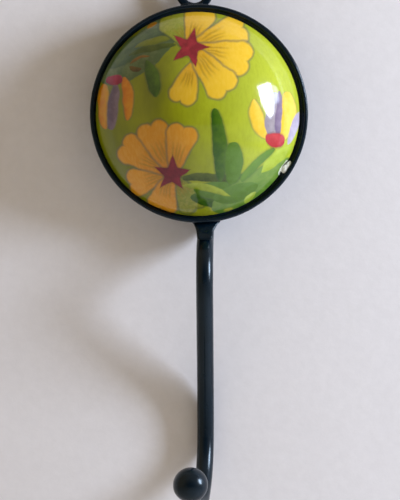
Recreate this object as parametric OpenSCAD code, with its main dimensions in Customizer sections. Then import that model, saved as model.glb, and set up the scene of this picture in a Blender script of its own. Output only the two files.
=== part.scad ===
// Ceramic wall hook: a painted iron cup with a glazed ceramic dome cemented into it, a round iron rod
// welded behind the cup that bows out, returns to the wall and ends in an upturned hook with a ball
// tip, and a small welded ring on top that hangs over a nail or screw.
// Millimetres. +Z is up, the front faces -Y and the wall is on the +Y side.
// The origin is the centre of the hanging ring's bore, halfway through its thickness.
// The object is rigid: every joint between its pieces is welded, cemented or a driven fit.

/* [Cup] */
// Outside diameter of the cup
cup_d = 50.5; // [35:0.5:80]
// Depth of the cup from its back face to the front edge of the rim
cup_depth = 5.5; // [4:0.1:12]
// Thickness of the pressed sheet, with its paint
sheet = 1.2; // [1:0.1:2.5]
// Outside radius of the pressed corner at the back
corner_r = 2; // [1.6:0.1:3.5]
// Centre of the cup below the centre of the hanging ring
cup_drop = 28.3; // [27:0.1:60]
// Sideways place of the cup's centre from the hanging ring's centre
cup_shift = 1.2; // [-4:0.1:4]

/* [Dome] */
// Clearance all round between the ceramic and the cup wall
dome_gap = 0.45; // [0.1:0.05:0.6]
// How far the dome sits off the cup's centre, inside that clearance
dome_off = 0.35; // [0:0.05:0.5]
// Direction of that offset, seen from the front, from +X toward +Z
dome_off_angle = 195; // [0:5:355]
// Height of the domed face above its own edge
dome_h = 12.8; // [6:0.1:20]
// Depth of the dome's edge below the front of the rim
dome_sink = 0.6; // [0:0.1:2]
// Wall thickness of the hollow-backed ceramic
dome_wall = 3.4; // [2:0.1:6]
// Thickness of the cement bed on the cup's floor
cement_t = 0.8; // [0.4:0.1:2]

/* [Rod] */
// Diameter of the round rod
rod_d = 4; // [3:0.1:8]
// Sideways place of the rod from the cup's centre
rod_shift = 1.4; // [-4:0.1:4]
// Length of rod welded behind the cup, up from the cup's lower edge
rod_tail = 38; // [15:0.5:45]
// Axis radius of the foot bend under the cup
foot_r = 4; // [3:0.1:8]
// Angle of the foot bend away from the wall
foot_angle = 78; // [45:1:85]
// Axis radius of the bow's upper curve
bow_r = 9.2; // [6:0.1:20]
// Axis radius of the bow's lower curve
bow_low_r = 12; // [8:0.1:30]
// Angle at which the rod runs back to the wall
return_angle = 22; // [10:1:35]
// Axis radius of the long curve that lays the rod back on the wall
landing_r = 40; // [20:1:80]
// Straight length lying on the wall above the hook
wall_run = 1.5; // [0.5:0.1:20]

/* [Hook] */
// Axis radius of the upturned hook
hook_r = 15; // [8:0.1:30]
// Angle that the hook's curve turns through
hook_angle = 140; // [120:1:180]
// Angle that the hook leans sideways, round the rod
hook_lean = 5.5; // [-10:0.1:10]
// Straight end of the rod up to the ball's centre
hook_end = 3.4; // [2:0.1:10]
// Diameter of the ball tip
ball_d = 8; // [5:0.1:16]
// Depth of the rod's seat past the ball's near surface
ball_seat = 2.8; // [1:0.1:5]

/* [Hanging ring] */
// Bore of the hanging ring
ring_bore = 5.2; // [3:0.1:12]
// Outside diameter of the hanging ring
ring_d = 9; // [6:0.1:18]
// Thickness of the hanging ring along the wall's normal
ring_t = 2; // [1:0.1:4]
// Rounding of the hanging ring's edges
ring_round = 0.5; // [0.2:0.05:0.9]

/* [Welds] */
// Width of the foot weld where it meets the cup
foot_weld_w = 7.2; // [5:0.1:12]
// Height of the foot weld below the cup's edge
foot_weld_h = 2.3; // [1:0.1:4]
// Width of the ring weld where it meets the cup
ring_weld_w = 8.2; // [5:0.1:14]
// Leg of the weld beads beside the rod behind the cup
bead_leg = 1.9; // [1:0.1:3]
// Length of the weld beads beside the rod
bead_run = 16; // [5:0.5:30]

/* [Hidden] */
$fn = 96;
eps = 0.01;
knit = 0.02;
cup_r = cup_d / 2;
rod_r = rod_d / 2;
ball_r = ball_d / 2;
// The ring stands with its front face against the cup's back, and the rod with its back on the wall.
wall_y = rod_d - ring_t / 2;
cup_y = wall_y - rod_d;
cup_x = cup_shift;
cup_z = -cup_drop;
rod_x = cup_x + rod_shift;
rod_y = wall_y - rod_r;
foot_z = cup_z - cup_r;
// The dome is part of a sphere that passes through its edge circle.
bore_r = cup_r - sheet;
dome_r = bore_r - dome_gap;
dome_edge = cup_depth - dome_sink;
ball_arc_r = (dome_r * dome_r + dome_h * dome_h) / (2 * dome_h);
dome_c = dome_edge + dome_h - ball_arc_r;
dome_foot = sheet + cement_t;
// The straight run down to the wall takes up what the curves leave of the bow's height.
foot_rise = foot_r * (1 - cos(foot_angle));
bow_rise = bow_r * (1 - cos(foot_angle));
bow_drop = bow_low_r * (1 - cos(return_angle));
land_drop = landing_r * (1 - cos(return_angle));
return_run = (foot_rise + bow_rise - bow_drop - land_drop) / sin(return_angle);
end_seat = hook_end - ball_r + ball_seat;

// The path of the rod down from its top: straight pieces, bends away from or toward the wall, and
// one sideways turn before the hook. The last straight ends inside the ball.
path = [
    ["line", rod_tail],
    ["out", foot_r, foot_angle],
    ["in", bow_r, foot_angle],
    ["in", bow_low_r, return_angle],
    ["line", return_run],
    ["out", landing_r, return_angle],
    ["line", wall_run],
    ["turn", hook_lean],
    ["out", hook_r, hook_angle],
    ["line", end_seat]
];

// Stands a profile drawn as radius and height off the cup's back face at the cup's place.
module on_cup() {
    translate([cup_x, cup_y, cup_z])
        rotate([90, 0, 0])
            children();
}

// A bend that starts at the origin along +Z and curves toward +X.
module bend(r, a) {
    translate([r, 0, 0])
        rotate([90, 0, 180])
            rotate_extrude(angle = a)
                translate([r, 0])
                    circle(d = rod_d);
}

// Moves to the end of such a bend.
module past_bend(r, a) {
    translate([r, 0, 0])
        rotate([0, a, 0])
            translate([-r, 0, 0])
                children();
}

// Draws the path from its step i on. Children are placed at the end, and shown only if solid is false.
module along(steps, i, solid) {
    if (i < len(steps)) {
        step = steps[i];
        // A ball a hair thicker than the rod makes each change of curve one solid.
        if (solid && i > 0 && step[0] != "turn") sphere(r = rod_r + knit);
        if (step[0] == "line") {
            if (solid) cylinder(h = step[1], d = rod_d);
            translate([0, 0, step[1]])
                along(steps, i + 1, solid)
                    children();
        }
        if (step[0] == "turn") {
            rotate([0, 0, step[1]])
                along(steps, i + 1, solid)
                    children();
        }
        if (step[0] == "out") {
            if (solid) bend(step[1], step[2]);
            past_bend(step[1], step[2])
                along(steps, i + 1, solid)
                    children();
        }
        if (step[0] == "in") {
            if (solid) rotate([0, 0, 180]) bend(step[1], step[2]);
            rotate([0, 0, 180])
                past_bend(step[1], step[2])
                    rotate([0, 0, 180])
                        along(steps, i + 1, solid)
                            children();
        }
    } else {
        if (!solid) children();
    }
}

// The rod's start: behind the cup, pointing down, with its first bends in the plane of the wall's normal.
module from_rod_top() {
    translate([rod_x, rod_y, foot_z + rod_tail])
        rotate([180, 0, -90])
            children();
}

// The frame at the rod's end, with +Z along the rod.
module at_rod_end() {
    from_rod_top()
        along(path, 0, false)
            children();
}

module hanging_ring() {
    color("#1c2026")
        rotate([90, 0, 0])
            rotate_extrude()
                union() {
                    translate([ring_bore / 2, ring_round - ring_t / 2])
                        square([(ring_d - ring_bore) / 2, ring_t - 2 * ring_round]);
                    translate([ring_bore / 2 + ring_round, -ring_t / 2])
                        square([(ring_d - ring_bore) / 2 - 2 * ring_round, ring_t]);
                    for (x = [ring_bore / 2 + ring_round, ring_d / 2 - ring_round])
                        for (y = [-1, 1])
                            translate([x, y * (ring_t / 2 - ring_round)])
                                circle(r = ring_round);
                }
}

// A bead across the corner between the ring's front face and the cup's outer wall.
module ring_weld() {
    color("#22262c")
        difference() {
            translate([0, cup_y, cup_z])
                rotate([90, 0, 0])
                    linear_extrude(height = 1.5)
                        polygon([
                            [-ring_weld_w / 2, cup_r - 1.1],
                            [ring_weld_w / 2, cup_r - 1.1],
                            [ring_weld_w / 2 - 0.5, cup_r + 0.1],
                            [2.6, cup_drop - ring_bore / 2 - 0.05],
                            [-2.6, cup_drop - ring_bore / 2 - 0.05],
                            [-ring_weld_w / 2 + 0.5, cup_r + 0.1]
                        ]);
            cup_blank();
        }
}

// The cup's outer shape in section, filled solid.
module cup_outline() {
    square([cup_r - corner_r, cup_depth - sheet / 2]);
    translate([0, corner_r])
        square([cup_r, cup_depth - sheet / 2 - corner_r]);
    translate([cup_r - corner_r, corner_r])
        intersection() {
            circle(r = corner_r);
            translate([0, -corner_r])
                square([corner_r, corner_r]);
        }
}

// The same shape as a solid, for what is welded against the cup.
module cup_blank() {
    on_cup()
        rotate_extrude($fn = 256)
            cup_outline();
}

// The pressed cup: floor, rounded corner, wall and rounded rim in one sheet.
module cup() {
    color("#14191f")
        on_cup()
            rotate_extrude()
                difference() {
                    union() {
                        cup_outline();
                        translate([bore_r + sheet / 2, cup_depth - sheet / 2])
                            circle(d = sheet);
                    }
                    translate([-1, sheet])
                        square([cup_r - corner_r + 1, cup_depth]);
                    translate([-1, corner_r])
                        square([bore_r + 1, cup_depth - sheet / 2 - corner_r]);
                    translate([cup_r - corner_r, corner_r])
                        circle(r = corner_r - sheet);
                }
}

module cement_bed() {
    color("#e6e2d8")
        on_cup()
            translate([0, 0, sheet])
                cylinder(h = cement_t, r = bore_r - (corner_r - sheet));
}

// The glazed dome: an edge wall that stands in the cup and a spherical face, hollow behind.
module ceramic_dome() {
    color("#a9ad1c")
        translate([dome_off * cos(dome_off_angle), 0, dome_off * sin(dome_off_angle)])
            on_cup()
                rotate_extrude()
                    difference() {
                        union() {
                            translate([0, dome_foot])
                                square([dome_r, dome_edge - dome_foot]);
                            intersection() {
                                translate([0, dome_c])
                                    circle(r = ball_arc_r);
                                translate([0, dome_edge])
                                    square([dome_r + 5, dome_h + 5]);
                            }
                        }
                        translate([0, dome_c])
                            circle(r = ball_arc_r - dome_wall);
                        translate([-1, dome_foot - 1])
                            square([dome_r - dome_wall + 1, dome_edge - dome_foot + 1]);
                    }
}

module hook_rod() {
    color("#14191f")
        from_rod_top()
            along(path, 0, true);
}

// A weld bead in the corner between the rod and the cup's back, on one side of the rod.
module rod_bead(side) {
    translate([rod_x, cup_y, cup_z - bead_run / 2])
        difference() {
            linear_extrude(height = bead_run)
                polygon([
                    [side * 0.45, 0],
                    [side * (rod_r + 0.7), 0],
                    [side * (rod_r + 0.45), 0.7],
                    [side * (rod_r - 0.15), bead_leg - 0.35],
                    [side * (rod_r - 0.35), bead_leg - 0.3]
                ]);
            translate([0, rod_r, -1])
                cylinder(h = bead_run + 2, r = rod_r);
        }
}

module rod_weld_left() {
    color("#22262c") rod_bead(-1);
}

module rod_weld_right() {
    color("#22262c") rod_bead(1);
}

// The tapered fillet between the cup's lower wall and the front of the rod as it bends out.
module foot_weld() {
    color("#22262c")
        difference() {
            translate([rod_x, cup_y, foot_z])
                rotate([90, 0, 0])
                    linear_extrude(height = 3.4)
                        polygon([
                            [-foot_weld_w / 2, 1],
                            [-foot_weld_w / 2, 0.1],
                            [-rod_r - 0.15, -foot_weld_h],
                            [rod_r + 0.15, -foot_weld_h],
                            [foot_weld_w / 2, 0.1],
                            [foot_weld_w / 2, 1]
                        ]);
            cup_blank();
            translate([rod_x, rod_y, foot_z])
                rotate([180, 0, -90])
                    bend(foot_r, foot_angle);
            translate([rod_x, rod_y, foot_z - eps])
                cylinder(h = 5, r = rod_r);
        }
}

module ball_tip() {
    color("#14191f")
        at_rod_end()
            translate([0, 0, hook_end - end_seat])
                difference() {
                    sphere(r = ball_r);
                    translate([0, 0, end_seat - hook_end - 8])
                        cylinder(h = 8, d = rod_d);
                }
}

hanging_ring();
ring_weld();
cup();
cement_bed();
ceramic_dome();
hook_rod();
rod_weld_left();
rod_weld_right();
foot_weld();
ball_tip();
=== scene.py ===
"""Looks for the ceramic wall hook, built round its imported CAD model. Blender 4.5, metres.

+Z is up, the front faces -Y and the wall is the plane y = 0.003. The origin is the hanging ring's bore.
"""
import math

import bmesh
import bpy
from mathutils import Matrix, Vector, noise


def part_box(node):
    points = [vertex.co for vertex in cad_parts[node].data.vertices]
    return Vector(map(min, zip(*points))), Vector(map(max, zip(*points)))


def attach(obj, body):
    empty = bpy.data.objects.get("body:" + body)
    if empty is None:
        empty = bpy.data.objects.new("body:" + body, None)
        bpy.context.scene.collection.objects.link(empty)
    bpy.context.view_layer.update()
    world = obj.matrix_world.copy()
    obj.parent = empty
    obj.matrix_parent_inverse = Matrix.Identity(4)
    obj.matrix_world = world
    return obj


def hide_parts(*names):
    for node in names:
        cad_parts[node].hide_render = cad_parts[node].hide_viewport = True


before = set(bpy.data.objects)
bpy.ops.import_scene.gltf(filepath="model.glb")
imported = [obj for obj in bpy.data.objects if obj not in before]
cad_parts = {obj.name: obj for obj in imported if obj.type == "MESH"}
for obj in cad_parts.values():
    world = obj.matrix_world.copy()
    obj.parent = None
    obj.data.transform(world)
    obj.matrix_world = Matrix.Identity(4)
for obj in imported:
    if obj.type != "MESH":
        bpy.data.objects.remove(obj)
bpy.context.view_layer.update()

MM = 0.001
TAU = 2 * math.pi


# ---------------------------------------------------------------- meshes

def mesh_piece(name, verts, faces, material, replaced):
    """A smooth mesh object that rides on the root body and stands for CAD nodes."""
    me = bpy.data.meshes.new(name)
    me.from_pydata([tuple(v) for v in verts], [], faces)
    me.validate()
    bm = bmesh.new()
    bm.from_mesh(me)
    bmesh.ops.recalc_face_normals(bm, faces=bm.faces)
    bm.to_mesh(me)
    bm.free()
    for p in me.polygons:
        p.use_smooth = True
    ob = bpy.data.objects.new(name, me)
    bpy.context.scene.collection.objects.link(ob)
    me.materials.append(material)
    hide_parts(replaced)
    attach(ob, "root")
    return ob


def sink(me, amount, size, seed):
    """Lowers the surface by up to amount in soft dimples of about that size.

    Hand work and thick paint leave such dimples, and the surface never rises past its drawn shape.
    """
    offset = Vector((seed * 7.31, seed * 3.17, seed * 5.53))
    normals = [v.normal.copy() for v in me.vertices]
    for v, n in zip(me.vertices, normals):
        k = noise.noise(v.co / size + offset) * 0.5 + 0.5
        v.co -= n * amount * min(1.0, max(0.0, k))


def lathe(profile, segs, place, closed):
    """Turns a profile of (radius, height) round the height axis.

    place maps (x, y, height) to the row frame. A closed profile joins its last point to its first.
    """
    verts, faces, rings = [], [], []
    for r, h in profile:
        if r < 1e-9:
            rings.append([len(verts)])
            verts.append(place(0.0, 0.0, h))
            continue
        rings.append(list(range(len(verts), len(verts) + segs)))
        for i in range(segs):
            a = TAU * i / segs
            verts.append(place(r * math.cos(a), r * math.sin(a), h))
    pairs = list(zip(rings, rings[1:]))
    if closed:
        pairs.append((rings[-1], rings[0]))
    for p, q in pairs:
        for i in range(segs):
            j = (i + 1) % segs
            if len(p) == 1:
                faces.append((p[0], q[i], q[j]))
            elif len(q) == 1:
                faces.append((p[i], q[0], p[j]))
            else:
                faces.append((p[i], q[i], q[j], p[j]))
    return verts, faces


def arc(cx, cy, r, a0, a1, n):
    """Points on a circle's arc in n steps, angles in degrees, with both ends."""
    return [(cx + r * math.cos(math.radians(a0 + (a1 - a0) * i / n)),
             cy + r * math.sin(math.radians(a0 + (a1 - a0) * i / n))) for i in range(n + 1)]


def line(p, q, n):
    """n points from p towards q, without q."""
    return [(p[0] + (q[0] - p[0]) * i / n, p[1] + (q[1] - p[1]) * i / n) for i in range(n)]


def blob(place, cuts, power):
    """A rounded box in -1..1 on each axis, put in place by a function. A higher power is boxier."""
    bm = bmesh.new()
    bmesh.ops.create_cube(bm, size=2.0)
    bmesh.ops.subdivide_edges(bm, edges=bm.edges[:], cuts=cuts, use_grid_fill=True)
    for v in bm.verts:
        k = sum(abs(c) ** power for c in v.co) ** (1 / power)
        v.co /= k
    bm.verts.ensure_lookup_table()
    verts = [place(v.co.x, v.co.y, v.co.z) for v in bm.verts]
    faces = [tuple(v.index for v in f.verts) for f in bm.faces]
    bm.free()
    return verts, faces


# ---------------------------------------------------------------- node building

class Tree:
    """Short calls that add nodes to a tree. A value is a number or a socket."""

    def __init__(self, tree):
        self.tree = tree

    def add(self, kind, **props):
        node = self.tree.nodes.new(kind)
        for key, value in props.items():
            setattr(node, key, value)
        return node

    def feed(self, socket, value):
        if isinstance(value, bpy.types.NodeSocket):
            self.tree.links.new(value, socket)
        else:
            socket.default_value = value

    def math(self, op, *values, clamp=False):
        node = self.add("ShaderNodeMath", operation=op, use_clamp=clamp)
        for socket, value in zip(node.inputs, values):
            self.feed(socket, value)
        return node.outputs[0]

    def ramp(self, value, low, high, out_low=0.0, out_high=1.0):
        node = self.add("ShaderNodeMapRange", clamp=True)
        for socket, v in zip(node.inputs, (value, low, high, out_low, out_high)):
            self.feed(socket, v)
        return node.outputs[0]

    def mix(self, factor, a, b, blend="MIX"):
        node = self.add("ShaderNodeMix", data_type="RGBA", blend_type=blend)
        self.feed(node.inputs[0], factor)
        self.feed(node.inputs[6], a)
        self.feed(node.inputs[7], b)
        return node.outputs[2]

    def vector(self, op, *values, scale=None):
        """A vector sum, difference or multiple, or the number that a dot product or length gives."""
        node = self.add("ShaderNodeVectorMath", operation=op)
        for socket, value in zip(node.inputs, values):
            self.feed(socket, value)
        if scale is not None:
            self.feed(node.inputs["Scale"], scale)
        return node.outputs["Value" if op in ("DOT_PRODUCT", "LENGTH") else "Vector"]

    def noise(self, vector, scale, detail=2.0, rough=0.5):
        node = self.add("ShaderNodeTexNoise")
        if vector is not None:
            self.feed(node.inputs["Vector"], vector)
        node.inputs["Scale"].default_value = scale
        node.inputs["Detail"].default_value = detail
        node.inputs["Roughness"].default_value = rough
        return node

    def stretch(self, vector, scale):
        node = self.add("ShaderNodeMapping")
        self.feed(node.inputs["Vector"], vector)
        node.inputs["Scale"].default_value = scale
        return node.outputs[0]

    def bump(self, shader, height, strength, distance):
        node = self.add("ShaderNodeBump")
        node.inputs["Strength"].default_value = strength
        node.inputs["Distance"].default_value = distance
        self.feed(node.inputs["Height"], height)
        self.feed(shader.inputs["Normal"], node.outputs[0])


def srgb(r, g, b, k=1.0):
    """A linear colour from 0..255 screen values, times k."""
    def one(c):
        c /= 255
        return (c / 12.92 if c <= 0.04045 else ((c + 0.055) / 1.055) ** 2.4) * k
    return (one(r), one(g), one(b), 1.0)


def new_material(name):
    mat = bpy.data.materials.new(name)
    mat.use_nodes = True
    tree = Tree(mat.node_tree)
    shader = mat.node_tree.nodes["Principled BSDF"]
    return mat, tree, shader


def object_coords(t):
    return t.add("ShaderNodeTexCoord").outputs["Object"]


# ---------------------------------------------------------------- plain materials
# Noise scales are in features a metre: a few hundred for brushwork and dimples, a few thousand for grain.

def black_enamel():
    """Thick blue-black paint over iron, half gloss, with brush-soft dimples, dust and dull patches."""
    mat, t, s = new_material("black_enamel")
    at = object_coords(t)
    broad = t.noise(at, 160.0, 3.0, 0.55).outputs[0]
    fine = t.noise(at, 2600.0, 4.0, 0.6).outputs[0]
    specks = t.noise(at, 1500.0, 2.0, 0.5).outputs[0]
    colour = t.mix(t.ramp(broad, 0.35, 0.68), (0.0008, 0.0052, 0.0105, 1), (0.0018, 0.0078, 0.0150, 1))
    dust = t.ramp(specks, 0.72, 0.80, 0.0, 0.30)
    colour = t.mix(dust, colour, (0.045, 0.045, 0.042, 1))
    t.feed(s.inputs["Base Color"], colour)
    rough = t.math("ADD", t.ramp(broad, 0.3, 0.7, 0.17, 0.24), t.ramp(fine, 0.35, 0.75, 0.0, 0.05))
    t.feed(s.inputs["Roughness"], t.math("ADD", rough, t.math("MULTIPLY", dust, 0.5)))
    s.inputs["Specular IOR Level"].default_value = 0.29
    s.inputs["Specular Tint"].default_value = (0.80, 0.95, 1.0, 1)
    height = t.math("ADD", t.math("MULTIPLY", broad, 1.4), t.math("MULTIPLY", fine, 0.30))
    t.bump(s, height, 0.35, 0.06 * MM)
    return mat


def cement():
    """Matt white cement with grit."""
    mat, t, s = new_material("cement")
    at = object_coords(t)
    grit = t.noise(at, 2200.0, 5.0, 0.7).outputs[0]
    cloud = t.noise(at, 260.0, 3.0, 0.5).outputs[0]
    colour = t.mix(t.ramp(grit, 0.3, 0.7), srgb(220, 222, 210), srgb(246, 247, 238))
    t.feed(s.inputs["Base Color"], t.mix(t.ramp(cloud, 0.4, 0.7, 0.0, 0.4), colour, srgb(204, 206, 192)))
    t.feed(s.inputs["Roughness"], t.ramp(grit, 0.2, 0.8, 0.75, 0.95))
    t.bump(s, grit, 0.6, 0.1 * MM)
    return mat


# ---------------------------------------------------------------- brush shapes for the painting
# Each is a node group that reads a place on the dome in mm: U to the right of the painting's middle and V up.

EDGE_SOFT = 0.26            # how far the glaze has blurred an edge, in mm
LINE_AT = 0.06              # the outline's middle, in mm inside the edge
VEIN_FANS = (0.045, 0.17)   # the slopes of the two veins on each side of a petal's middle
POINTS = 5.0                # of a flower's heart

def group(name, inputs, outputs):
    tree = bpy.data.node_groups.new(name, "ShaderNodeTree")
    for key in inputs:
        tree.interface.new_socket(key, in_out="INPUT", socket_type="NodeSocketFloat")
    for key in outputs:
        tree.interface.new_socket(key, in_out="OUTPUT", socket_type="NodeSocketFloat")
    t = Tree(tree)
    g_in = t.add("NodeGroupInput")
    g_out = t.add("NodeGroupOutput")
    return tree, t, {key: g_in.outputs[i] for i, key in enumerate(inputs)}, g_out


def edge_outputs(t, d, g_out):
    """Mask and outline from d, the distance inside the shape's edge in mm. The glaze has blurred both."""
    t.feed(g_out.inputs[0], t.ramp(d, 0.0, EDGE_SOFT))
    off = t.math("ABSOLUTE", t.math("SUBTRACT", d, LINE_AT))
    t.feed(g_out.inputs[1], t.ramp(off, 0.05, 0.46, 1.0, 0.0))


def petal_group():
    """A heart-shaped petal: a wedge from its root to two round lobes. Size is root to tip."""
    tree, t, i, g_out = group("petal", ["U", "V", "X", "Y", "Angle", "Length", "Width"],
                              ["Mask", "Line", "Vein", "Along"])
    m = t.math
    du, dv = m("SUBTRACT", i["U"], i["X"]), m("SUBTRACT", i["V"], i["Y"])
    ca, sa = m("COSINE", i["Angle"]), m("SINE", i["Angle"])
    x = m("ADD", m("MULTIPLY", du, ca), m("MULTIPLY", dv, sa))
    y = m("ABSOLUTE", m("SUBTRACT", m("MULTIPLY", dv, ca), m("MULTIPLY", du, sa)))
    r = m("MULTIPLY", i["Width"], 0.30)
    k = m("MULTIPLY", i["Width"], 0.205)
    xc = m("SUBTRACT", i["Length"], r)
    lobe_x = m("SUBTRACT", x, xc)
    lobe_y = m("SUBTRACT", y, k)
    lobe = m("SUBTRACT", r, m("SQRT", m("ADD", m("MULTIPLY", lobe_x, lobe_x), m("MULTIPLY", lobe_y, lobe_y))))
    share = m("DIVIDE", x, xc)
    wide = m("ADD", 0.5, m("MULTIPLY", m("SUBTRACT", m("MULTIPLY", i["Width"], 0.5), 0.5),
                           m("POWER", m("MAXIMUM", share, 0.0), 0.66)))
    wedge = m("MINIMUM", m("SUBTRACT", wide, y), m("MINIMUM", x, m("SUBTRACT", 0.0, lobe_x)))
    d = m("SMOOTH_MAX", lobe, wedge, 0.35)
    edge_outputs(t, d, g_out)
    fan = m("DIVIDE", y, m("ADD", x, 1.5))
    near = m("MINIMUM", *(m("ABSOLUTE", m("SUBTRACT", fan, slope)) for slope in VEIN_FANS))
    vein = t.ramp(m("MULTIPLY", near, m("ADD", x, 1.5)), 0.04, 0.40, 1.0, 0.0)
    vein = m("MULTIPLY", vein, m("MULTIPLY", t.ramp(share, 0.22, 0.36), t.ramp(share, 0.58, 0.80, 1.0, 0.0)))
    t.feed(g_out.inputs[2], vein)
    t.feed(g_out.inputs[3], share)
    return tree


def leaf_group():
    """A brush stroke from one point to another, bent sideways. Power 0.5 is an ellipse, 1 a pointed leaf."""
    tree, t, i, g_out = group("leaf", ["U", "V", "X0", "Y0", "X1", "Y1", "Half", "Bend", "Power"],
                              ["Mask", "Line", "Along", "Across"])
    m = t.math
    dx, dy = m("SUBTRACT", i["X1"], i["X0"]), m("SUBTRACT", i["Y1"], i["Y0"])
    px, py = m("SUBTRACT", i["U"], i["X0"]), m("SUBTRACT", i["V"], i["Y0"])
    length2 = m("ADD", m("MULTIPLY", dx, dx), m("MULTIPLY", dy, dy))
    along = m("DIVIDE", m("ADD", m("MULTIPLY", px, dx), m("MULTIPLY", py, dy)), length2)
    along = m("ADD", along, 0.0, clamp=True)
    side = m("DIVIDE", m("SUBTRACT", m("MULTIPLY", py, dx), m("MULTIPLY", px, dy)), m("SQRT", length2))
    q = m("MULTIPLY", 4.0, m("MULTIPLY", along, m("SUBTRACT", 1.0, along)))
    side = m("SUBTRACT", side, m("MULTIPLY", i["Bend"], q))
    half = m("MULTIPLY", i["Half"], m("POWER", q, i["Power"]))
    d = m("SUBTRACT", half, m("ABSOLUTE", side))
    d = m("SUBTRACT", d, t.ramp(q, 0.0, 0.02, 0.5, 0.0))
    edge_outputs(t, d, g_out)
    t.feed(g_out.inputs[2], along)
    t.feed(g_out.inputs[3], m("DIVIDE", side, m("MAXIMUM", half, 0.05)))
    return tree


def star_group():
    """A flower's five-pointed heart."""
    tree, t, i, g_out = group("star", ["U", "V", "X", "Y", "Radius", "Turn"], ["Mask", "Line"])
    m = t.math
    du, dv = m("SUBTRACT", i["U"], i["X"]), m("SUBTRACT", i["V"], i["Y"])
    r = m("SQRT", m("ADD", m("MULTIPLY", du, du), m("MULTIPLY", dv, dv)))
    a = m("MULTIPLY", m("SUBTRACT", m("ARCTAN2", dv, du), i["Turn"]), POINTS)
    # 0 at a point of the star and 1 between points, with sharp points
    fold = m("ABSOLUTE", m("SINE", m("MULTIPLY", a, 0.5)))
    reach = m("MULTIPLY", i["Radius"], m("SUBTRACT", 1.0, m("MULTIPLY", 0.56, m("POWER", fold, 0.62))))
    edge_outputs(t, m("SUBTRACT", reach, r), g_out)
    return tree


VEIN = (0.30, 0.19, 0.008, 1)
PETAL_STREAK = (0.95, 0.72, 0.16, 1)
SWAY = 1.3                  # how far the hand strays over a few mm, in mm
JITTER = 0.22               # and how rough a stroke's edge is, in mm
CHIP_R = 1.15 * MM          # half the chip's width
CHIP_STRETCH = 1.9          # its length over its width


class Painting:
    """Under-glaze painting laid down stroke by stroke, each over the last. Places and sizes are in mm."""

    def __init__(self, t, centre):
        self.t = t
        at = object_coords(t)
        self.at = at
        apart = t.add("ShaderNodeSeparateXYZ")
        t.feed(apart.inputs[0], at)
        sway = t.add("ShaderNodeSeparateColor")
        t.feed(sway.inputs[0], t.noise(at, 190.0, 2.0, 0.5).outputs["Color"])
        jit = t.add("ShaderNodeSeparateColor")
        t.feed(jit.inputs[0], t.noise(at, 1300.0, 2.0, 0.6).outputs["Color"])
        self.u = self.warp(apart.outputs[0], centre[0], sway.outputs[0], jit.outputs[0])
        self.v = self.warp(apart.outputs[2], centre[1], sway.outputs[1], jit.outputs[1])
        self.tone = t.noise(at, 520.0, 3.0, 0.6).outputs[0]
        self.streak = t.noise(t.stretch(at, (1.0, 1.0, 0.35)), 1500.0, 3.0, 0.6).outputs[0]
        self.petal_tree = petal_group()
        self.leaf_tree = leaf_group()
        self.star_tree = star_group()
        self.colour = None

    def warp(self, value, zero, sway, jit):
        t = self.t
        mm = t.math("MULTIPLY", t.math("SUBTRACT", value, zero), 1000.0)
        mm = t.math("ADD", mm, t.math("MULTIPLY", t.math("SUBTRACT", sway, 0.5), SWAY))
        return t.math("ADD", mm, t.math("MULTIPLY", t.math("SUBTRACT", jit, 0.5), JITTER))

    def place(self, tree, **values):
        node = self.t.add("ShaderNodeGroup", node_tree=tree)
        self.t.feed(node.inputs["U"], self.u)
        self.t.feed(node.inputs["V"], self.v)
        for key, value in values.items():
            node.inputs[key].default_value = value
        return node

    def lay(self, mask, colour):
        self.colour = self.t.mix(mask, self.colour, colour)

    def petal(self, x, y, degrees, length, width, root, tip, edge):
        """A petal from its root at (x, y), shaded from the root's colour to the tip's."""
        t = self.t
        node = self.place(self.petal_tree, X=x, Y=y, Angle=math.radians(degrees), Length=length, Width=width)
        mask, outline, veins, along = node.outputs
        body = t.mix(t.ramp(along, 0.15, 0.85), root, tip)
        lighter = t.mix(0.5, body, PETAL_STREAK)
        body = t.mix(t.ramp(self.streak, 0.40, 0.72, 0.0, 0.30), body, lighter)
        body = t.mix(t.math("MULTIPLY", veins, 0.55), body, VEIN)
        self.lay(mask, body)
        self.lay(t.math("MULTIPLY", outline, 0.62), edge)

    def stroke(self, x0, y0, x1, y1, half, bend, power, dark, light, edge=None, edge_share=0.4):
        """A leaf or bud stroke from one point to another, half its width, mottled from dark to light."""
        t = self.t
        node = self.place(self.leaf_tree, X0=x0, Y0=y0, X1=x1, Y1=y1, Half=half, Bend=bend, Power=power)
        mask, outline, along, across = node.outputs
        lit = t.math("ADD", t.math("MULTIPLY", self.tone, 0.7), t.math("MULTIPLY", across, 0.16))
        self.lay(mask, t.mix(t.ramp(lit, 0.22, 0.52), dark, light))
        if edge is not None:
            self.lay(t.math("MULTIPLY", outline, edge_share), edge)

    def star(self, x, y, radius, degrees, dark, light, edge):
        """A flower's heart, one point of it turned to degrees."""
        t = self.t
        node = self.place(self.star_tree, X=x, Y=y, Radius=radius, Turn=math.radians(degrees))
        self.lay(node.outputs[0], t.mix(t.ramp(self.tone, 0.36, 0.66), dark, light))
        self.lay(t.math("MULTIPLY", node.outputs[1], 0.35), edge)


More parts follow.
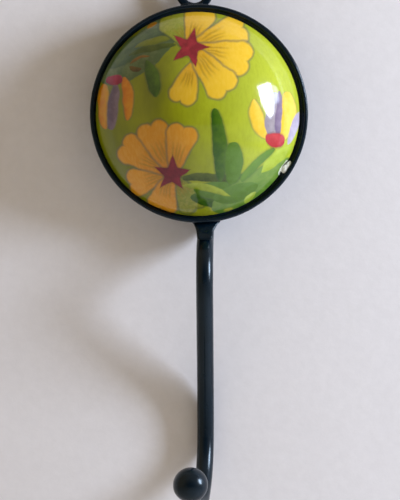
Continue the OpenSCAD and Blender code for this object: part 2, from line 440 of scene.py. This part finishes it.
def painted_ceramic(centre, chip_at, chip_long):
    """Folk flowers and leaves on lime, under a clear gloss glaze, with one chip down to the white body. The
    lime ground has painted light towards the right and painted shade towards the left.
    """
    mat, t, s = new_material("glazed_ceramic")
    p = Painting(t, centre)
    ink = srgb(104, 100, 72)
    ink_green = srgb(66, 84, 50)
    lime, lime_deep, lime_painted_lit = srgb(150, 157, 0), srgb(108, 116, 0), srgb(184, 196, 60)
    wash = t.noise(t.stretch(p.at, (1.0, 1.0, 0.6)), 85.0, 3.0, 0.55).outputs[0]
    ground = t.mix(t.ramp(wash, 0.32, 0.62), lime_deep, lime)
    # Painted light and shade: the ground turns pale lime towards the right as a painted highlight and darker
    # olive towards the left as painted shade.
    ground = t.mix(t.ramp(p.u, -12.0, 19.0, 0.0, 0.75), ground, lime_painted_lit)
    ground = t.mix(t.ramp(p.u, -20.0, -2.0, 0.45, 0.0), ground, srgb(118, 128, 24))
    p.colour = t.mix(t.ramp(p.streak, 0.42, 0.7, 0.0, 0.18), ground, lime_deep)

    grey_leaf, grey_leaf_light = srgb(76, 100, 58), srgb(108, 126, 84)
    dark, mid = srgb(46, 82, 16), srgb(74, 110, 18)
    fresh, fresh_light = srgb(88, 124, 44), srgb(112, 142, 58)

    # Upper left: leaves along the rim, a twig and a small dark leaf.
    p.stroke(-22.6, 7.2, -4.6, 23.4, 4.2, -1.4, 0.40, grey_leaf, grey_leaf_light)
    p.stroke(-20.6, 10.4, -7.0, 19.4, 2.6, 0.6, 0.75, srgb(66, 92, 58), srgb(88, 112, 62), ink_green, 0.25)
    p.stroke(-14.8, 15.0, -5.8, 17.4, 0.95, 0.4, 0.6, srgb(106, 120, 26), srgb(128, 138, 36), ink_green, 0.2)
    p.stroke(-16.2, 13.1, -5.2, 15.8, 0.80, 0.5, 0.4, srgb(56, 78, 18), srgb(80, 98, 28))
    p.stroke(-16.0, 11.3, -11.0, 13.2, 0.45, 0.3, 0.4, srgb(108, 80, 26), srgb(138, 100, 36))
    p.stroke(-16.0, 10.6, -13.0, 10.2, 0.75, -0.4, 0.5, srgb(66, 54, 14), srgb(100, 80, 22))
    p.stroke(-12.1, 19.7, -9.9, 20.9, 0.55, 0.0, 0.5, srgb(164, 116, 28), srgb(190, 140, 40))
    p.stroke(-11.9, 12.2, -9.6, 3.7, 1.75, 0.5, 0.62, dark, mid, ink_green, 0.4)

    # Top flower.
    gold, gold_tip = srgb(206, 154, 16), srgb(222, 180, 42)
    leafy, leafy_tip = srgb(130, 146, 30), srgb(146, 158, 44)
    x, y = -2.0, 15.1
    p.petal(x, y, 121, 9.6, 8.0, leafy, leafy_tip, ink_green)
    p.petal(x, y, 74, 9.9, 7.4, gold, gold_tip, ink)
    p.petal(x, y, 21, 13.6, 7.6, gold, gold_tip, ink)
    p.petal(x, y, -13, 14.2, 8.2, gold, gold_tip, ink)
    p.petal(x + 0.9, y - 3.2, -108, 10.0, 6.8, gold, gold_tip, ink)
    p.petal(x + 0.2, y, -50, 13.5, 8.0, gold, gold_tip, ink)
    p.star(x, y, 4.9, 2.0, srgb(128, 22, 40), srgb(160, 36, 54), srgb(70, 22, 36))

    # Lower flower.
    amber, amber_tip = srgb(196, 124, 14), srgb(212, 146, 28)
    x, y = -6.05, -13.7
    p.petal(x, y, 195, 10.9, 6.8, amber, amber_tip, ink)
    p.petal(x, y, 150, 13.6, 7.8, amber, amber_tip, ink)
    p.petal(x, y, 113, 13.1, 7.6, amber, amber_tip, ink)
    p.petal(x, y, 75, 11.7, 7.4, amber, amber_tip, ink)
    p.petal(x, y, 303, 10.2, 7.0, srgb(112, 124, 26), srgb(128, 138, 40), ink_green)
    p.petal(x, y, 250, 9.9, 7.2, amber, amber_tip, ink)

    # Lower right: leaves, stems and their light gaps.
    p.stroke(-2.0, -19.2, 9.5, -21.8, 2.0, 0.5, 0.45, dark, mid)
    p.stroke(-1.2, -17.6, 17.0, -13.4, 3.1, -1.6, 0.6, mid, fresh, ink_green, 0.25)
    p.stroke(3.0, -22.4, 21.6, -10.8, 4.2, -1.1, 0.5, fresh, fresh_light, ink_green, 0.25)
    p.stroke(3.0, -19.6, 13.5, -16.4, 2.3, -0.4, 0.6, mid, fresh)
    p.stroke(-3.8, -14.4, 8.0, -15.0, 1.15, 0.3, 0.25, srgb(58, 74, 20), srgb(84, 98, 34))
    p.stroke(-4.2, -16.6, 7.4, -19.0, 1.0, 0.9, 0.8, srgb(132, 148, 34), srgb(158, 172, 52))
    p.stroke(10.4, -20.8, 13.0, -18.3, 0.85, 0.2, 0.6, srgb(140, 162, 50), srgb(168, 188, 74))
    p.stroke(5.6, -22.8, 8.0, -21.9, 0.5, 0.0, 0.6, srgb(140, 146, 48), srgb(166, 168, 62))
    p.stroke(14.2, -13.6, 22.0, -7.4, 1.6, 0.5, 0.8, srgb(148, 168, 38), srgb(168, 186, 60))
    p.stroke(9.6, -15.4, 17.3, -7.6, 1.05, 0.3, 0.3, fresh, srgb(98, 136, 44), ink_green, 0.25)
    p.stroke(3.7, 1.3, 4.8, -15.6, 1.75, 0.7, 0.42, dark, mid, ink_green, 0.4)
    p.stroke(7.7, -6.2, 7.4, -16.2, 2.2, 0.5, 0.40, mid, fresh, ink_green, 0.25)
    p.star(x, y, 4.5, 88.0, srgb(106, 14, 34), srgb(134, 24, 44), srgb(60, 14, 30))

    # Left bud, its red cap up.
    violet, violet_light = srgb(98, 82, 98), srgb(126, 110, 126)
    p.stroke(-21.9, 6.8, -21.7, -3.6, 1.7, 0.0, 0.42, amber, gold, ink, 0.3)
    p.stroke(-17.1, 8.4, -16.3, -1.6, 1.45, 0.6, 0.45, srgb(196, 112, 8), amber_tip, ink, 0.4)
    p.stroke(-19.1, 6.8, -20.4, -3.6, 1.35, 0.2, 0.32, violet, violet_light, ink, 0.35)
    p.stroke(-21.4, 7.5, -17.4, 7.7, 1.25, 0.0, 0.35, srgb(132, 26, 56), srgb(164, 44, 72))

    # Right bud, its red cap down.
    cream, cream_light = srgb(220, 180, 46), srgb(230, 198, 80)
    p.stroke(12.5, 3.6, 16.1, -6.0, 1.85, -0.9, 0.55, cream, cream_light, ink, 0.4)
    p.stroke(20.2, 4.9, 18.5, -6.3, 2.15, 0.9, 0.42, cream, cream_light, ink, 0.25)
    p.stroke(22.9, 0.2, 20.2, -7.2, 1.0, 0.2, 0.5, srgb(160, 152, 170), srgb(184, 176, 190))
    p.stroke(17.0, 5.0, 16.6, -5.2, 1.9, 0.2, 0.35, srgb(140, 132, 138), srgb(166, 158, 160))
    p.stroke(18.2, 5.2, 17.9, -5.2, 0.90, 0.2, 0.35, srgb(112, 98, 122), srgb(138, 124, 144))
    cap, cap_light, cap_edge = srgb(168, 42, 48), srgb(188, 64, 68), srgb(110, 40, 46)
    p.stroke(15.2, -5.6, 19.5, -6.2, 1.7, 0.0, 0.36, cap, cap_light, cap_edge, 0.4)

    # The chip: the distance from its centre, squeezed along the rim and made ragged.
    away = t.vector("SUBTRACT", p.at, chip_at)
    run = t.vector("DOT_PRODUCT", away, chip_long)
    shift = t.vector("SCALE", chip_long, scale=t.math("MULTIPLY", run, 1 - 1 / CHIP_STRETCH))
    gap = t.vector("LENGTH", t.vector("SUBTRACT", away, shift))
    ragged = t.math("ADD", gap, t.math("MULTIPLY", t.math("SUBTRACT", p.tone, 0.5), 0.9 * MM))
    chip = t.ramp(ragged, CHIP_R * 0.92, CHIP_R * 1.02, 1.0, 0.0)
    biscuit = t.mix(t.ramp(p.streak, 0.35, 0.7), srgb(168, 174, 150), srgb(222, 224, 206))
    t.feed(s.inputs["Base Color"], t.mix(chip, p.colour, biscuit))
    smear = t.noise(p.at, 120.0, 3.0, 0.6).outputs[0]
    gloss = t.ramp(smear, 0.35, 0.7, 0.075, 0.110)
    t.feed(s.inputs["Roughness"], t.math("ADD", gloss, t.math("MULTIPLY", chip, 0.7)))
    s.inputs["Specular IOR Level"].default_value = 0.55
    waves = t.noise(p.at, 420.0, 2.0, 0.5).outputs[0]
    t.bump(s, t.math("ADD", waves, t.math("MULTIPLY", chip, p.streak)), 0.25, 0.05 * MM)
    return mat


# ---------------------------------------------------------------- places from the CAD model

cup_lo, cup_hi = (Vector(c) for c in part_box("cup"))
dome_lo, dome_hi = (Vector(c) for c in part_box("ceramic_dome"))
ring_lo, ring_hi = (Vector(c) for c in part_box("hanging_ring"))
rod_hi = Vector(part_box("hook_rod")[1])
ball_lo, ball_hi = (Vector(c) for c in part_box("ball_tip"))
bead_lo = Vector(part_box("rod_weld_left")[0])
bead_hi = Vector(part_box("rod_weld_right")[1])

cup_x, cup_z = (cup_lo.x + cup_hi.x) / 2, (cup_lo.z + cup_hi.z) / 2
cup_r = (cup_hi.x - cup_lo.x) / 2
dome_x, dome_z = (dome_lo.x + dome_hi.x) / 2, (dome_lo.z + dome_hi.z) / 2
cup_back = cup_hi.y
cup_depth = cup_hi.y - cup_lo.y
wall_y = rod_hi.y
ROD_R = 2.0 * MM
rod_x = (bead_lo.x + bead_hi.x) / 2
rod_y = cup_back + ROD_R


def on_cup(x, y, h):
    """A turned point on the cup's axis: h is the height off the cup's back."""
    return Vector((cup_x + x, cup_back - h, cup_z + y))


def on_dome(x, y, h):
    """The same for the dome, which sits a little off the cup's axis."""
    return Vector((dome_x + x, cup_back - h, dome_z + y))


enamel = black_enamel()

# ---------------------------------------------------------------- the cup

SEGS = 256
SHEET = 1.2 * MM
CORNER_R = 2.0 * MM
EDGE_R = SHEET / 2
HUB_R = 4.0 * MM            # flat faces have a fan inside this and rings outside it
STEP = 0.2 * MM             # between a bend's end and the next ring
inner_wall = cup_r - SHEET
floor_in = cup_r - CORNER_R
profile = [(0.0, 0.0)] + line((HUB_R, 0.0), (floor_in, 0.0), 14)
profile += arc(floor_in, CORNER_R, CORNER_R, -90, 0, 10)
profile += line((cup_r, CORNER_R + STEP), (cup_r, cup_depth - EDGE_R), 6)
profile += arc(cup_r - EDGE_R, cup_depth - EDGE_R, EDGE_R, 0, 180, 16)
profile += line((inner_wall, cup_depth - EDGE_R - STEP), (inner_wall, CORNER_R), 6)
profile += arc(floor_in, CORNER_R, CORNER_R - SHEET, 0, -90, 4)
profile += line((floor_in - 0.5 * MM, SHEET), (HUB_R, SHEET), 8) + [(0.0, SHEET)]
verts, faces = lathe(profile, SEGS, on_cup, False)
cup = mesh_piece("cup_body", verts, faces, enamel, "cup")
sink(cup.data, 0.10 * MM, 6.0 * MM, 3)
sink(cup.data, 0.03 * MM, 1.6 * MM, 4)

# Paint that has run into the gap between the rim and the dome, and dried with a hollow face.
PAINT_LOW = 4.1 * MM
PAINT_HIGH = 5.05 * MM
PAINT_R = 0.42 * MM         # of the hollow
PAINT_W = 0.9 * MM          # its inner part is inside the dome's edge
wall_side = inner_wall + 0.05 * MM
dome_side = inner_wall - PAINT_W
profile = [(wall_side, PAINT_LOW), (wall_side, PAINT_HIGH)]
profile += arc(inner_wall - PAINT_R, PAINT_HIGH, PAINT_R, 0, -90, 8)
profile += [(dome_side, 4.60 * MM), (dome_side, PAINT_LOW)]
verts, faces = lathe(profile, SEGS, on_cup, True)
paint_line = mesh_piece("gap_paint", verts, faces, enamel, "cup")
sink(paint_line.data, 0.16 * MM, 2.2 * MM, 5)

# ---------------------------------------------------------------- the dome

dome_r = (dome_hi.x - dome_lo.x) / 2
dome_top = cup_back - dome_lo.y
dome_foot = cup_back - dome_hi.y
DOME_EDGE = 4.9 * MM
DOME_WALL = 3.4 * MM
LIP = 0.32 * MM
rise = dome_top - DOME_EDGE
sphere_r = (dome_r ** 2 + rise ** 2) / (2 * rise)
sphere_c = dome_top - sphere_r
chip_turn = math.radians(-31.5)
chip_at = on_dome(dome_r * math.cos(chip_turn), dome_r * math.sin(chip_turn), DOME_EDGE + 0.1 * MM)
chip_long = Vector((-math.sin(chip_turn), 0, math.cos(chip_turn)))

# The face is an arc from the centre out to where a small rounded lip takes over and turns into the edge wall.
lip_r = dome_r - LIP
lip_h = sphere_c + math.sqrt((sphere_r - LIP) ** 2 - lip_r ** 2)
lip_start = math.degrees(math.atan2(lip_h - sphere_c, lip_r))
FACE_RINGS = 150
profile = [(0.0, dome_top)]
for i in range(1, FACE_RINGS):
    a = math.radians(90 - (90 - lip_start) * i / FACE_RINGS)
    profile.append((sphere_r * math.cos(a), sphere_c + sphere_r * math.sin(a)))
profile += arc(lip_r, lip_h, LIP, lip_start, 0, 8)
profile += line((dome_r, lip_h - STEP), (dome_r, dome_foot), 6)
inner_r = sphere_r - DOME_WALL
profile += line((dome_r, dome_foot), (dome_r - DOME_WALL, dome_foot), 4)
inner_start = math.degrees(math.asin((DOME_EDGE - sphere_c) / inner_r))
profile += [(dome_r - DOME_WALL, dome_foot), (dome_r - DOME_WALL, DOME_EDGE)]
profile += arc(0.0, sphere_c, inner_r, inner_start + 1, 90, 24)[:-1]
profile.append((0.0, sphere_c + inner_r))
verts, faces = lathe(profile, 384, on_dome, False)
# The painting's middle is a little right of and above the dome's.
painting_at = (dome_x + 0.5 * MM, dome_z + 0.25 * MM)
ceramic = painted_ceramic(painting_at, chip_at, chip_long)
dome = mesh_piece("painted_dome", verts, faces, ceramic, "ceramic_dome")
sink(dome.data, 0.16 * MM, 13.0 * MM, 11)
sink(dome.data, 0.012 * MM, 2.4 * MM, 12)
# The chip is also a dent, deepest at its centre and rough at its edge.
inward = (Vector((dome_x, dome_hi.y, dome_z)) - chip_at).normalized()
for v in dome.data.vertices:
    away = v.co - chip_at
    away -= chip_long * away.dot(chip_long) * (1 - 1 / CHIP_STRETCH)
    gap = away.length + 0.35 * MM * noise.noise(v.co * 900.0)
    if gap < CHIP_R:
        v.co += inward * (CHIP_R - gap) * 0.5

# ---------------------------------------------------------------- the rod

def walk(start, ahead, out, steps, gap):
    """Frames (place, heading, out) along a path of straights and bends, about gap apart.

    A step is ("line", length), ("out" or "in", radius, degrees), or ("turn", degrees) about the heading.
    """
    frames = [(start.copy(), ahead.copy(), out.copy())]
    place, ahead, out = start.copy(), ahead.copy(), out.copy()
    for step in steps:
        if step[0] == "line":
            n = max(1, round(step[1] / gap))
            for i in range(1, n + 1):
                frames.append((place + ahead * step[1] * i / n, ahead.copy(), out.copy()))
            place = place + ahead * step[1]
        elif step[0] == "turn":
            out = Matrix.Rotation(math.radians(step[1]), 3, ahead) @ out
        else:
            sign = 1 if step[0] == "out" else -1
            r, a = step[1], math.radians(step[2])
            side = out * sign
            hub = place + side * r
            n = max(2, round(r * a / gap))
            for i in range(1, n + 1):
                b = a * i / n
                frames.append((hub - side * r * math.cos(b) + ahead * r * math.sin(b),
                               ahead * math.cos(b) + side * math.sin(b),
                               (side * math.cos(b) - ahead * math.sin(b)) * sign))
            place, ahead, out = frames[-1]
            place, ahead, out = place.copy(), ahead.copy(), out.copy()
    return frames


def sweep(frames, radius, segs):
    """A round bar along the frames, closed at both ends. radius(i, angle) gives its radius."""
    verts, faces = [], []
    for i, (place, ahead, out) in enumerate(frames):
        side = ahead.cross(out)
        for j in range(segs):
            a = TAU * j / segs
            r = radius(i, a)
            verts.append(place + out * r * math.cos(a) + side * r * math.sin(a))
    for i in range(len(frames) - 1):
        for j in range(segs):
            k = (j + 1) % segs
            p, q = i * segs, (i + 1) * segs
            faces.append((p + j, p + k, q + k, q + j))
    for i in (0, len(frames) - 1):
        hub = len(verts)
        verts.append(frames[i][0].copy())
        for j in range(segs):
            faces.append((hub, i * segs + j, i * segs + (j + 1) % segs))
    return verts, faces


# The same path as the CAD rod's, in mm and degrees, from behind the cup down to the ball.
TAIL = 38.0
FOOT_R = 4.0
FOOT_A = 78.0
BOW_R = 9.2
BOW_LOW_R = 12.0
RETURN_A = 22.0
LAND_R = 40.0
WALL_RUN = 1.5
HOOK_LEAN = 5.5
HOOK_R = 15.0
HOOK_A = 140.0
INTO_BALL = 2.2
up = 1 - math.cos(math.radians(FOOT_A))
down = 1 - math.cos(math.radians(RETURN_A))
# The straight return is as long as brings the rod back to the wall.
back = (FOOT_R * up + BOW_R * up - BOW_LOW_R * down - LAND_R * down) / math.sin(math.radians(RETURN_A))
steps = [("line", TAIL * MM), ("out", FOOT_R * MM, FOOT_A), ("in", BOW_R * MM, FOOT_A),
         ("in", BOW_LOW_R * MM, RETURN_A), ("line", back * MM), ("out", LAND_R * MM, RETURN_A),
         ("line", WALL_RUN * MM), ("turn", HOOK_LEAN), ("out", HOOK_R * MM, HOOK_A),
         ("line", INTO_BALL * MM)]
frames = walk(Vector((rod_x, rod_y, rod_hi.z)), Vector((0, 0, -1)), Vector((0, -1, 0)), steps, 0.4 * MM)


CHAMFER = (0.5 * MM, 0.18 * MM)


def rod_radius(i, a):
    """Chamfered at the cut top end, and full everywhere else."""
    return ROD_R - (CHAMFER[i] if i < len(CHAMFER) else 0.0)


verts, faces = sweep(frames, rod_radius, 48)
rod = mesh_piece("hook_bar", verts, faces, enamel, "hook_rod")
sink(rod.data, 0.04 * MM, 5.0 * MM, 21)
sink(rod.data, 0.015 * MM, 1.4 * MM, 22)

# ---------------------------------------------------------------- the ball

ball_at = (ball_lo + ball_hi) / 2
ball_r = (ball_hi.x - ball_lo.x) / 2
along = (frames[-1][0] - frames[-8][0]).normalized()
side = along.cross(Vector((1, 0, 0))).normalized()
other = along.cross(side)


def on_ball(x, y, h):
    return ball_at + side * x + other * y + along * h


# Round from the far pole to the neck, where paint and braze run out along the rod.
NECK_A = 36.0
NECK_LEN = 1.1 * MM
NECK_RINGS = 8
profile = arc(0.0, 0.0, ball_r, 90, NECK_A - 90, 60)
profile[0] = (0.0, ball_r)
neck_r, neck_h = profile[-1]
for i in range(1, NECK_RINGS + 1):
    k = i / NECK_RINGS
    profile.append((neck_r + (ROD_R * 0.98 - neck_r) * (1 - (1 - k) ** 2.2), neck_h - NECK_LEN * k))
profile.append((ROD_R * 0.6, neck_h - NECK_LEN))
profile.append((0.0, neck_h - NECK_LEN))
verts, faces = lathe(profile, 96, on_ball, False)
ball = mesh_piece("ball_end", verts, faces, enamel, "ball_tip")
sink(ball.data, 0.10 * MM, 4.5 * MM, 31)
sink(ball.data, 0.02 * MM, 1.2 * MM, 32)

# ---------------------------------------------------------------- the hanging ring

ring_at = (ring_lo + ring_hi) / 2
ring_out = (ring_hi.x - ring_lo.x) / 2
RING_BORE_R = 2.6 * MM
ring_half = (ring_hi.y - ring_lo.y) / 2
ROUND = 0.62 * MM


def on_ring(x, y, h):
    return ring_at + Vector((x, -h, y))


profile = []
for cx, cy, a in ((ring_out - ROUND, ring_half - ROUND, 0), (RING_BORE_R + ROUND, ring_half - ROUND, 90),
                  (RING_BORE_R + ROUND, ROUND - ring_half, 180), (ring_out - ROUND, ROUND - ring_half, 270)):
    profile += arc(cx, cy, ROUND, a, a + 90, 7)
verts, faces = lathe(profile, 96, on_ring, True)
ring = mesh_piece("top_ring", verts, faces, enamel, "hanging_ring")
sink(ring.data, 0.10 * MM, 2.6 * MM, 41)

# ---------------------------------------------------------------- welds

foot_z = cup_z - cup_r

# The foot's fillet, in mm: half its width on the rod and what the flare adds on each side, its front and back
# at the lower end and how far they lie behind that at the upper end, then the upper end's height over the
# cup's lowest point and the fillet's length.
FOOT_HALF = 2.02
FLARE_LEFT = 2.0
FLARE_RIGHT = 2.7
FLARE_POWER = 3.5
FOOT_FRONT = -7.65
FRONT_RUN = 2.9
FOOT_BACK = -4.2
BACK_RUN = 3.5
FOOT_HIGH = 0.6
FOOT_LEN = 4.6


def foot_place(a, b, c):
    """Wide under the rim, more so on the right, and running out on the rod's upper side below."""
    k = (1 + c) / 2
    half = (FOOT_HALF + (FLARE_RIGHT if a > 0 else FLARE_LEFT) * k ** FLARE_POWER) * MM
    front = (FOOT_FRONT + FRONT_RUN * k) * MM
    back = (FOOT_BACK + BACK_RUN * k) * MM
    return Vector((rod_x + a * half, (front + back) / 2 + b * (back - front) / 2,
                   foot_z + (FOOT_HIGH - FOOT_LEN * (1 - k)) * MM))


verts, faces = blob(foot_place, 16, 4.8)
foot = mesh_piece("foot_fillet", verts, faces, enamel, "foot_weld")
sink(foot.data, 0.16 * MM, 1.3 * MM, 51)

# The ring's fillet, in mm: half its width and how much narrower it is on top, its lower end and its height.
CROWN_HALF = 4.1
CROWN_NARROWS = 1.1
CROWN_LOW = -4.2
CROWN_LEN = 1.55


def crown_place(a, b, c):
    """Fills the corner between the ring and the top of the cup."""
    k = (1 + c) / 2
    half = (CROWN_HALF - CROWN_NARROWS * k ** 0.8) * MM
    return Vector((a * half, cup_back - 0.55 * MM + b * 0.85 * MM, (CROWN_LOW + CROWN_LEN * k) * MM))


verts, faces = blob(crown_place, 12, 4)
crown = mesh_piece("ring_fillet", verts, faces, enamel, "ring_weld")
sink(crown.data, 0.22 * MM, 1.3 * MM, 52)

# The beads that hold the rod's tail, in mm: half a bead's width, its ripple and how far it lies from the
# rod's axis. Each was laid in a row of dabs.
BEAD_R = 0.86
BEAD_RIPPLE = 0.10
BEAD_DABS = 11
BEAD_APART = 1.95
BEADS = (("bead_left", "rod_weld_left", -1, 61), ("bead_right", "rod_weld_right", 1, 62))
for name, node, sign, seed in BEADS:
    lo, hi = (Vector(c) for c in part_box(node))
    top = Vector((rod_x + sign * BEAD_APART * MM, cup_back + 0.2 * MM, hi.z))
    bead_path = walk(top, Vector((0, 0, -1)), Vector((0, -1, 0)), [("line", hi.z - lo.z)], 0.12 * MM)
    count = len(bead_path)

    def bead_radius(i, a, count=count, seed=seed):
        """Rounded ends, and a ripple for each dab of the electrode."""
        k = i / (count - 1)
        end = math.sqrt(max(0.0, 1 - abs(2 * k - 1) ** 9))
        ripple = BEAD_RIPPLE * abs(math.sin(k * BEAD_DABS * math.pi + 0.5 * math.cos(a)))
        wander = 0.10 * noise.noise(Vector((k * 9.0, seed, 0.0)))
        return (BEAD_R - ripple + wander) * end * MM + 0.02 * MM

    verts, faces = sweep(bead_path, bead_radius, 28)
    bead = mesh_piece(name, verts, faces, enamel, node)
    sink(bead.data, 0.06 * MM, 0.9 * MM, seed)

# ---------------------------------------------------------------- the cement

# A disc behind the dome, and a crumb that has squeezed up inside the rim, beside the chip.
bed_lo, bed_hi = (Vector(c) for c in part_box("cement_bed"))
bed_r = (bed_hi.x - bed_lo.x) / 2
bed_low, bed_high = cup_back - bed_hi.y, cup_back - bed_lo.y
profile = [(0.0, bed_low)] + line((HUB_R, bed_low), (bed_r, bed_low), 12) + [(bed_r, bed_low)]
profile += [(bed_r, bed_high)] + line((bed_r - STEP, bed_high), (HUB_R, bed_high), 12)
profile.append((0.0, bed_high))
verts, faces = lathe(profile, 128, on_cup, False)


# The crumb: its middle and half its length in degrees round the cup, then in mm its middle's distance from
# the cup's axis, half its width, its height off the cup's back and half its thickness.
CRUMB_TURN = -31.2
CRUMB_SPAN = 4.6
CRUMB_R = 23.48
CRUMB_HALF = 0.90
CRUMB_H = 4.95
CRUMB_THICK = 0.52


def crumb_place(a, b, c):
    """Bent along the rim: a runs along it, b across it and c up. It thins and moves outward as a grows."""
    turn = math.radians(CRUMB_TURN + CRUMB_SPAN * a)
    r = (CRUMB_R + 0.26 * a + (CRUMB_HALF - 0.28 * a) * b) * MM
    return on_cup(r * math.cos(turn), r * math.sin(turn), (CRUMB_H + 0.08 * a + CRUMB_THICK * c) * MM)


crumb_verts, crumb_faces = blob(crumb_place, 22, 2.4)
first = len(verts)
verts += crumb_verts
faces += [tuple(first + i for i in f) for f in crumb_faces]
bed = mesh_piece("cement_body", verts, faces, cement(), "cement_bed")
sink(bed.data, 0.55 * MM, 0.9 * MM, 71)

# ---------------------------------------------------------------- wall, floor, light and camera

def plaster(name, colour, one_sided):
    """Painted plaster. A one-sided sheet can't be seen from behind."""
    mat, t, s = new_material(name)
    at = object_coords(t)
    grain = t.noise(at, 420.0, 5.0, 0.65).outputs[0]
    cloud = t.noise(at, 9.0, 2.0, 0.5).outputs[0]
    shade = tuple(c * 0.955 for c in colour[:3]) + (1.0,)
    base = t.mix(t.ramp(grain, 0.35, 0.7), shade, colour)
    t.feed(s.inputs["Base Color"], t.mix(t.ramp(cloud, 0.3, 0.7, 0.0, 0.25), base, shade))
    s.inputs["Roughness"].default_value = 0.9
    s.inputs["Specular IOR Level"].default_value = 0.15
    t.bump(s, grain, 0.15, 0.3 * MM)
    if one_sided:
        clear = t.add("ShaderNodeBsdfTransparent")
        pick = t.add("ShaderNodeMixShader")
        t.feed(pick.inputs[0], t.add("ShaderNodeNewGeometry").outputs["Backfacing"])
        t.feed(pick.inputs[1], s.outputs[0])
        t.feed(pick.inputs[2], clear.outputs[0])
        t.feed(mat.node_tree.nodes["Material Output"].inputs["Surface"], pick.outputs[0])
    return mat


def sheet(name, corners, material):
    """A flat stage piece with the corners in order."""
    me = bpy.data.meshes.new(name)
    me.from_pydata([tuple(c) for c in corners], [], [tuple(range(len(corners)))])
    ob = bpy.data.objects.new(name, me)
    bpy.context.scene.collection.objects.link(ob)
    me.materials.append(material)
    return ob


FLOOR_Z = -0.32
HALF = 1.6                  # of the wall's and the floor's width
back_y = wall_y + 0.1 * MM
wall = sheet("wall", [(-HALF, back_y, FLOOR_Z), (HALF, back_y, FLOOR_Z), (HALF, back_y, HALF),
                      (-HALF, back_y, HALF)], plaster("wall_paint", (0.80, 0.79, 0.79, 1), True))
# The room's fill light also comes from behind the wall, which neither blocks it nor bounces light itself.
wall.visible_diffuse = False
wall.visible_shadow = False
sheet("floor", [(-HALF, -HALF, FLOOR_Z), (HALF, -HALF, FLOOR_Z), (HALF, HALF, FLOOR_Z),
                (-HALF, HALF, FLOOR_Z)], plaster("floor_paint", (0.74, 0.73, 0.72, 1), False))

scene = bpy.context.scene
scene.view_settings.view_transform = "Standard"
world = bpy.data.worlds.new("room")
scene.world = world
world.use_nodes = True
# Warm fill from the sides, weaker from the dim room behind the viewer, and neutral from behind the wall.
sky = Tree(world.node_tree)
facing = sky.add("ShaderNodeSeparateXYZ")
sky.feed(facing.inputs[0], sky.add("ShaderNodeTexCoord").outputs["Generated"])
background = world.node_tree.nodes["Background"]
behind = sky.ramp(facing.outputs[1], -0.05, 0.25)
sky.feed(background.inputs["Color"], sky.mix(behind, (1.0, 0.79, 0.55, 1), (1.0, 0.97, 0.95, 1)))
fill = sky.ramp(facing.outputs[1], -0.96, -0.66, 0.10, 0.56)
sky.feed(background.inputs["Strength"], sky.math("ADD", fill, sky.math("MULTIPLY", behind, 0.12)))


def glow(name, colour, strength):
    """Plain light, for a window pane."""
    mat = bpy.data.materials.new(name)
    mat.use_nodes = True
    nodes = mat.node_tree.nodes
    nodes.clear()
    t = Tree(mat.node_tree)
    emit = t.add("ShaderNodeEmission")
    emit.inputs["Color"].default_value = colour
    emit.inputs["Strength"].default_value = strength
    t.feed(t.add("ShaderNodeOutputMaterial").inputs["Surface"], emit.outputs[0])
    return mat


# The window: a bright pane, narrower below, and a dimmer strip on its far side. Corners in metres.
WINDOW_AWAY = 0.55
target = Vector((cup_x, wall_y, cup_z - 30 * MM))
toward = Vector((0.902, -0.398, 0.165)).normalized()
far_side = Vector((0, 0, 1)).cross(toward).normalized()
upward = toward.cross(far_side)
window_at = target + toward * WINDOW_AWAY
PANES = (("pane", ((-0.033, 0.150), (0.114, 0.158), (0.110, 0.05), (0.084, -0.06), (0.064, -0.088),
                   (0.032, -0.080), (0.0, -0.03), (-0.030, 0.05)), (0.74, 0.82, 1.0, 1), 58.0),
         ("side_pane", ((0.122, 0.152), (0.186, 0.125), (0.176, 0.03), (0.118, 0.01)),
          (0.62, 0.76, 1.0, 1), 11.0))
for name, corners, colour, strength in PANES:
    points = [window_at + far_side * x + upward * z for x, z in corners]
    sheet(name, points, glow(name, colour, strength))

# The view's height is measured at the aim, in the plane of the cup's front.
VIEW_H = 115.75 * MM
EYE = Vector((cup_x + 14 * MM, wall_y - 560 * MM, cup_z + 12 * MM))
AIM = Vector((cup_x + 0.27 * MM, wall_y - 9.5 * MM, cup_z - 31.47 * MM))
cam_data = bpy.data.cameras.new("camera")
cam_data.sensor_fit = "VERTICAL"
cam_data.sensor_height = 24.0
cam_data.lens = (AIM - EYE).length / VIEW_H * cam_data.sensor_height
cam_data.clip_start = 0.01
cam = bpy.data.objects.new("camera", cam_data)
scene.collection.objects.link(cam)
cam.location = EYE
cam.rotation_euler = (AIM - EYE).to_track_quat("-Z", "Y").to_euler()
scene.camera = cam
